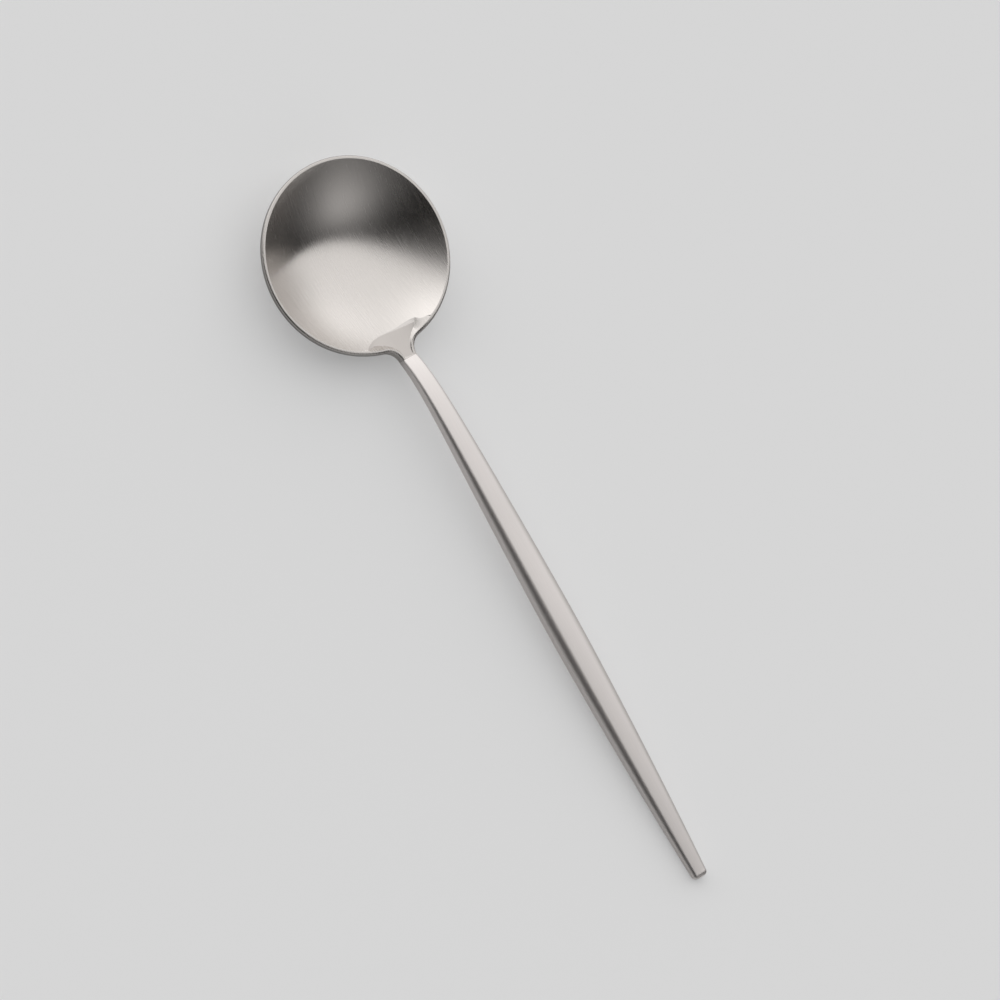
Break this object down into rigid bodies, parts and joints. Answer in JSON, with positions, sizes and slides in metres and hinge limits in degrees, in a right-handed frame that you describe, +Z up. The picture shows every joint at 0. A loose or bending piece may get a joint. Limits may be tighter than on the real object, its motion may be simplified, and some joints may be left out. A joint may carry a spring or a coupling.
{
  "type": "soup spoon",
  "caption": "Round-bowled soup spoon with a slim rectangular handle that rises in a low arch from a waisted neck and narrows to a square tip.",
  "frame": {"origin": "middle of the footprint, on the table that the spoon lies on", "axes": "+X along the spoon towards the tip of the handle, +Y to the left seen from the bowl, +Z up out of the hollow of the bowl"},
  "size_m": [0.185, 0.0446, 0.0119],
  "materials": {
    "bowl": "stainless steel, finely brushed along the spoon, with a brighter worn rim",
    "handle": "stainless steel, satin brushed lengthways, with softly broken edges"
  },
  "bodies": {
    "root": {"bowl": "bowl", "handle": "handle"}
  },
  "joints": []
}
